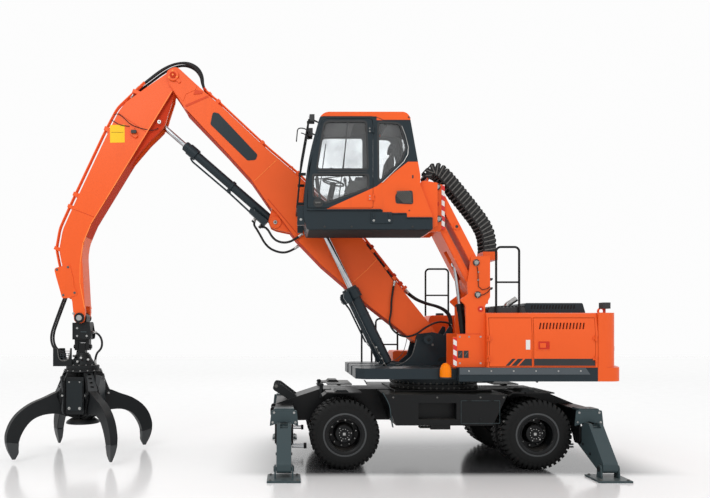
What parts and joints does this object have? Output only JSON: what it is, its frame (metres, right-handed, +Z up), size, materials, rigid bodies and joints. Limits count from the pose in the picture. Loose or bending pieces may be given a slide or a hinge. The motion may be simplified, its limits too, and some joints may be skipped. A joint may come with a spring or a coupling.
{
  "type": "wheeled material handler",
  "caption": "Rubber-tyred scrap handler with outriggers, raised cab on parallel links, boom, goose-neck arm and orange-peel grapple.",
  "frame": {"origin": "centre of the bounding box on the floor", "axes": "-X forwards, where boom and steered axle point; +Y to the machine's right, away from the cab; +Z up"},
  "size_m": [9.7307, 4.21, 6.6154],
  "materials": {
    "orange_paint": "satin",
    "slate_paint": "satin",
    "chassis_paint": "satin",
    "black_paint": "satin",
    "rim_paint": "satin",
    "engine_iron": "matte",
    "chrome": "polished",
    "tyre_rubber": "matte",
    "hose_rubber": "matte",
    "black_plastic": "matte",
    "glass": "gloss"
  },
  "bodies": {
    "undercarriage": {"chassis": "chassis_paint", "side_boxes": "chassis_paint", "axles": "chassis_paint"},
    "left_knuckle": {"left_knuckle": "chassis_paint"},
    "right_knuckle": {"right_knuckle": "chassis_paint"},
    "front_left_wheels": {"front_left_rim": "rim_paint", "front_left_tyres": "tyre_rubber"},
    "front_right_wheels": {"front_right_rim": "rim_paint", "front_right_tyres": "tyre_rubber"},
    "rear_left_wheels": {"rear_left_rim": "rim_paint", "rear_left_tyres": "tyre_rubber"},
    "rear_right_wheels": {"rear_right_rim": "rim_paint", "rear_right_tyres": "tyre_rubber"},
    "front_left_leg": {"front_left_leg": "chassis_paint"},
    "front_left_pad": {"front_left_pad": "chassis_paint"},
    "front_right_leg": {"front_right_leg": "chassis_paint"},
    "front_right_pad": {"front_right_pad": "chassis_paint"},
    "rear_left_leg": {"rear_left_leg": "chassis_paint"},
    "rear_left_pad": {"rear_left_pad": "chassis_paint"},
    "rear_right_leg": {"rear_right_leg": "chassis_paint"},
    "rear_right_pad": {"rear_right_pad": "chassis_paint"},
    "upper": {"revolving_frame": "slate_paint", "counterweight": "orange_paint", "engine_block": "engine_iron", "body_panels": "orange_paint", "riser_tower": "orange_paint", "handrails": "black_paint", "boom_foot_hoses": "hose_rubber"},
    "left_front_door": {"left_front_door": "orange_paint"},
    "left_rear_door": {"left_rear_door": "orange_paint"},
    "engine_hood": {"engine_hood": "slate_paint"},
    "boom": {"boom": "orange_paint", "boom_tip_hoses": "hose_rubber"},
    "boom_cylinder_barrels": {"boom_cylinder_barrels": "slate_paint"},
    "boom_cylinder_rods": {"boom_cylinder_rods": "chrome"},
    "arm": {"arm": "orange_paint", "grapple_hoses": "hose_rubber"},
    "arm_cylinder_barrel": {"arm_cylinder_barrel": "slate_paint"},
    "arm_cylinder_rod": {"arm_cylinder_rod": "chrome"},
    "riser_lower_link": {"riser_lower_link": "orange_paint"},
    "riser_upper_link": {"riser_upper_link": "orange_paint", "cable_chain": "black_plastic"},
    "riser_cylinder_barrel": {"riser_cylinder_barrel": "black_paint"},
    "riser_cylinder_rod": {"riser_cylinder_rod": "chrome"},
    "cab": {"cab_carrier": "orange_paint", "cab_shell": "orange_paint", "cab_windows": "glass", "cab_interior": "black_plastic"},
    "cab_door": {"cab_door": "orange_paint"},
    "grapple_hanger": {"grapple_hanger": "black_paint"},
    "rotator_head": {"rotator_head": "black_paint"},
    "grapple_body": {"grapple_body": "black_paint"},
    "tine_1": {"tine_1": "black_paint"},
    "tine_rod_1": {"tine_rod_1": "chrome"},
    "tine_2": {"tine_2": "black_paint"},
    "tine_rod_2": {"tine_rod_2": "chrome"},
    "tine_3": {"tine_3": "black_paint"},
    "tine_rod_3": {"tine_rod_3": "chrome"},
    "tine_4": {"tine_4": "black_paint"},
    "tine_rod_4": {"tine_rod_4": "chrome"}
  },
  "joints": [
    {"name": "slew", "type": "hinge", "parent": "undercarriage", "child": "upper", "pos_m": [2.0454, 0, 1.235], "axis": [0, 0, 1], "continuous": true},
    {"name": "boom", "type": "hinge", "parent": "upper", "child": "boom", "pos_m": [1.8784, 0, 1.944], "axis": [0, 1, 0], "range_deg": [-50, 25], "deforming": ["boom_foot_hoses"]},
    {"name": "boom_cylinder_swing", "type": "hinge", "parent": "upper", "child": "boom_cylinder_barrels", "pos_m": [1.2774, 0, 1.461], "axis": [0, 1, 0], "range_deg": [-52.1, 26.55]},
    {"name": "boom_cylinder_stroke", "type": "slide", "parent": "boom_cylinder_barrels", "child": "boom_cylinder_rods", "axis": [-0.4376, 0, 0.8992], "range_m": [-0.6506, 0.3263]},
    {"name": "arm", "type": "hinge", "parent": "boom", "child": "arm", "pos_m": [-2.28464, 0, 6.28973], "axis": [0, 1, 0], "range_deg": [-20, 60], "deforming": ["boom_tip_hoses"]},
    {"name": "arm_cylinder_swing", "type": "hinge", "parent": "boom", "child": "arm_cylinder_barrel", "pos_m": [-0.60354, 0, 3.88146], "axis": [0, 1, 0], "range_deg": [-1.37, 1.12]},
    {"name": "arm_cylinder_stroke", "type": "slide", "parent": "arm_cylinder_barrel", "child": "arm_cylinder_rod", "axis": [-0.7545, 0, 0.6563], "range_m": [-0.2616, 0.7807]},
    {"name": "cab_riser", "type": "hinge", "parent": "upper", "child": "riser_upper_link", "pos_m": [2.4504, -0.7975, 3.122], "axis": [0, -1, 0], "range_deg": [0, 80], "deforming": ["cable_chain"]},
    {"name": "lower_link", "type": "hinge", "parent": "upper", "child": "riser_lower_link", "pos_m": [2.4734, -0.7975, 2.637], "axis": [0, -1, 0], "range_deg": [0, 80]},
    {"name": "cab_level", "type": "hinge", "parent": "riser_upper_link", "child": "cab", "pos_m": [1.86046, -0.7975, 4.26695], "axis": [0, -1, 0], "range_deg": [-80, 0]},
    {"name": "riser_cylinder_swing", "type": "hinge", "parent": "upper", "child": "riser_cylinder_barrel", "pos_m": [2.4064, -0.7975, 1.62], "axis": [0, -1, 0], "range_deg": [-1, 24.87]},
    {"name": "riser_cylinder_stroke", "type": "slide", "parent": "riser_cylinder_barrel", "child": "riser_cylinder_rod", "axis": [-0.1241, 0, 0.9923], "range_m": [-0.4974, 0.002]},
    {"name": "cab_door", "type": "hinge", "parent": "cab", "child": "cab_door", "pos_m": [0.8624, -1.408, 4.06], "axis": [0, 0, 1], "range_deg": [0, 150]},
    {"name": "left_front_door", "type": "hinge", "parent": "upper", "child": "left_front_door", "pos_m": [2.6234, -1.268, 1.54], "axis": [0, 0, -1], "range_deg": [0, 95]},
    {"name": "left_rear_door", "type": "hinge", "parent": "upper", "child": "left_rear_door", "pos_m": [4.2144, -1.268, 1.54], "axis": [0, 0, 1], "range_deg": [0, 95]},
    {"name": "engine_hood", "type": "hinge", "parent": "upper", "child": "engine_hood", "pos_m": [4.2504, 0, 2.373], "axis": [0, 1, 0], "range_deg": [0, 60]},
    {"name": "left_steer", "type": "hinge", "parent": "undercarriage", "child": "left_knuckle", "pos_m": [0.4564, -0.59, 0.5275], "axis": [0, 0, 1], "range_deg": [-27, 27]},
    {"name": "right_steer", "type": "hinge", "parent": "undercarriage", "child": "right_knuckle", "pos_m": [0.4564, 0.59, 0.5275], "axis": [0, 0, 1], "range_deg": [-27, 27]},
    {"name": "front_left_wheels", "type": "hinge", "parent": "left_knuckle", "child": "front_left_wheels", "pos_m": [0.4564, -1.111, 0.5275], "axis": [0, 1, 0], "continuous": true},
    {"name": "front_right_wheels", "type": "hinge", "parent": "right_knuckle", "child": "front_right_wheels", "pos_m": [0.4564, 1.111, 0.5275], "axis": [0, 1, 0], "continuous": true},
    {"name": "rear_left_wheels", "type": "hinge", "parent": "undercarriage", "child": "rear_left_wheels", "pos_m": [3.3464, -1.111, 0.5275], "axis": [0, 1, 0], "continuous": true},
    {"name": "rear_right_wheels", "type": "hinge", "parent": "undercarriage", "child": "rear_right_wheels", "pos_m": [3.3464, 1.111, 0.5275], "axis": [0, 1, 0], "continuous": true},
    {"name": "front_left_leg", "type": "hinge", "parent": "undercarriage", "child": "front_left_leg", "pos_m": [-0.4546, -1.15, 0.47], "axis": [-1, 0, 0], "range_deg": [0, 48]},
    {"name": "front_left_pad", "type": "hinge", "parent": "front_left_leg", "child": "front_left_pad", "pos_m": [-0.4546, -1.87, 0.15], "axis": [-1, 0, 0], "range_deg": [-13.44, 0]},
    {"name": "front_right_leg", "type": "hinge", "parent": "undercarriage", "child": "front_right_leg", "pos_m": [-0.4546, 1.15, 0.47], "axis": [1, 0, 0], "range_deg": [0, 48]},
    {"name": "front_right_pad", "type": "hinge", "parent": "front_right_leg", "child": "front_right_pad", "pos_m": [-0.4546, 1.87, 0.15], "axis": [1, 0, 0], "range_deg": [-13.44, 0]},
    {"name": "rear_left_leg", "type": "hinge", "parent": "undercarriage", "child": "rear_left_leg", "pos_m": [4.1154, -1.15, 0.47], "axis": [-1, 0, 0], "range_deg": [0, 48]},
    {"name": "rear_left_pad", "type": "hinge", "parent": "rear_left_leg", "child": "rear_left_pad", "pos_m": [4.1154, -1.87, 0.15], "axis": [-1, 0, 0], "range_deg": [-13.44, 0]},
    {"name": "rear_right_leg", "type": "hinge", "parent": "undercarriage", "child": "rear_right_leg", "pos_m": [4.1154, 1.15, 0.47], "axis": [1, 0, 0], "range_deg": [0, 48]},
    {"name": "rear_right_pad", "type": "hinge", "parent": "rear_right_leg", "child": "rear_right_pad", "pos_m": [4.1154, 1.87, 0.15], "axis": [1, 0, 0], "range_deg": [-13.44, 0]},
    {"name": "grapple_swing", "type": "hinge", "parent": "arm", "child": "grapple_hanger", "pos_m": [-3.84147, 0, 2.30077], "axis": [0, -1, 0], "range_deg": [-45, 45], "deforming": ["grapple_hoses"]},
    {"name": "grapple_tilt", "type": "hinge", "parent": "grapple_hanger", "child": "rotator_head", "pos_m": [-3.84147, 0, 1.82078], "axis": [1, 0, 0], "range_deg": [-25, 25]},
    {"name": "grapple_rotation", "type": "hinge", "parent": "rotator_head", "child": "grapple_body", "pos_m": [-3.84147, 0, 1.452], "axis": [0, 0, 1], "continuous": true},
    {"name": "tine_1", "type": "hinge", "parent": "grapple_body", "child": "tine_1", "pos_m": [-3.61295, 0.17854, 0.76], "axis": [-0.6157, 0.788, 0], "range_deg": [-10, 55]},
    {"name": "tine_rod_1", "type": "slide", "parent": "grapple_body", "child": "tine_rod_1", "axis": [0.435, 0.3398, -0.8339], "range_m": [-0.0505, 0.2685]},
    {"name": "tine_2", "type": "hinge", "parent": "grapple_body", "child": "tine_2", "pos_m": [-4.02002, 0.22852, 0.76], "axis": [-0.788, -0.6157, 0], "range_deg": [-10, 55]},
    {"name": "tine_rod_2", "type": "slide", "parent": "grapple_body", "child": "tine_rod_2", "axis": [-0.3398, 0.435, -0.8339], "range_m": [-0.0505, 0.2685]},
    {"name": "tine_3", "type": "hinge", "parent": "grapple_body", "child": "tine_3", "pos_m": [-4.07, -0.17854, 0.76], "axis": [0.6157, -0.788, 0], "range_deg": [-10, 55]},
    {"name": "tine_rod_3", "type": "slide", "parent": "grapple_body", "child": "tine_rod_3", "axis": [-0.435, -0.3398, -0.8339], "range_m": [-0.0505, 0.2685]},
    {"name": "tine_4", "type": "hinge", "parent": "grapple_body", "child": "tine_4", "pos_m": [-3.66293, -0.22852, 0.76], "axis": [0.788, 0.6157, 0], "range_deg": [-10, 55]},
    {"name": "tine_rod_4", "type": "slide", "parent": "grapple_body", "child": "tine_rod_4", "axis": [0.3398, -0.435, -0.8339], "range_m": [-0.0505, 0.2685]}
  ],
  "couplings": [
    {"joint": "boom_cylinder_swing", "follows": "boom", "ratio": 1.0221},
    {"joint": "boom_cylinder_stroke", "follows": "boom", "m_per_rad": 0.74329},
    {"joint": "arm_cylinder_swing", "follows": "arm", "ratio": -0.00609},
    {"joint": "arm_cylinder_stroke", "follows": "arm", "m_per_rad": 0.74361},
    {"joint": "lower_link", "follows": "cab_riser", "ratio": 1},
    {"joint": "cab_level", "follows": "cab_riser", "ratio": -1},
    {"joint": "riser_cylinder_swing", "follows": "cab_riser", "ratio": 0.29838},
    {"joint": "riser_cylinder_stroke", "follows": "cab_riser", "m_per_rad": -0.3548},
    {"joint": "right_steer", "follows": "left_steer", "ratio": 1},
    {"joint": "front_left_pad", "follows": "front_left_leg", "ratio": -0.28},
    {"joint": "front_right_pad", "follows": "front_right_leg", "ratio": -0.28},
    {"joint": "rear_left_pad", "follows": "rear_left_leg", "ratio": -0.28},
    {"joint": "rear_right_pad", "follows": "rear_right_leg", "ratio": -0.28},
    {"joint": "tine_rod_1", "follows": "tine_1", "m_per_rad": 0.27764},
    {"joint": "tine_2", "follows": "tine_1", "ratio": 1},
    {"joint": "tine_rod_2", "follows": "tine_1", "m_per_rad": 0.27764},
    {"joint": "tine_3", "follows": "tine_1", "ratio": 1},
    {"joint": "tine_rod_3", "follows": "tine_1", "m_per_rad": 0.27764},
    {"joint": "tine_4", "follows": "tine_1", "ratio": 1},
    {"joint": "tine_rod_4", "follows": "tine_1", "m_per_rad": 0.27764}
  ]
}
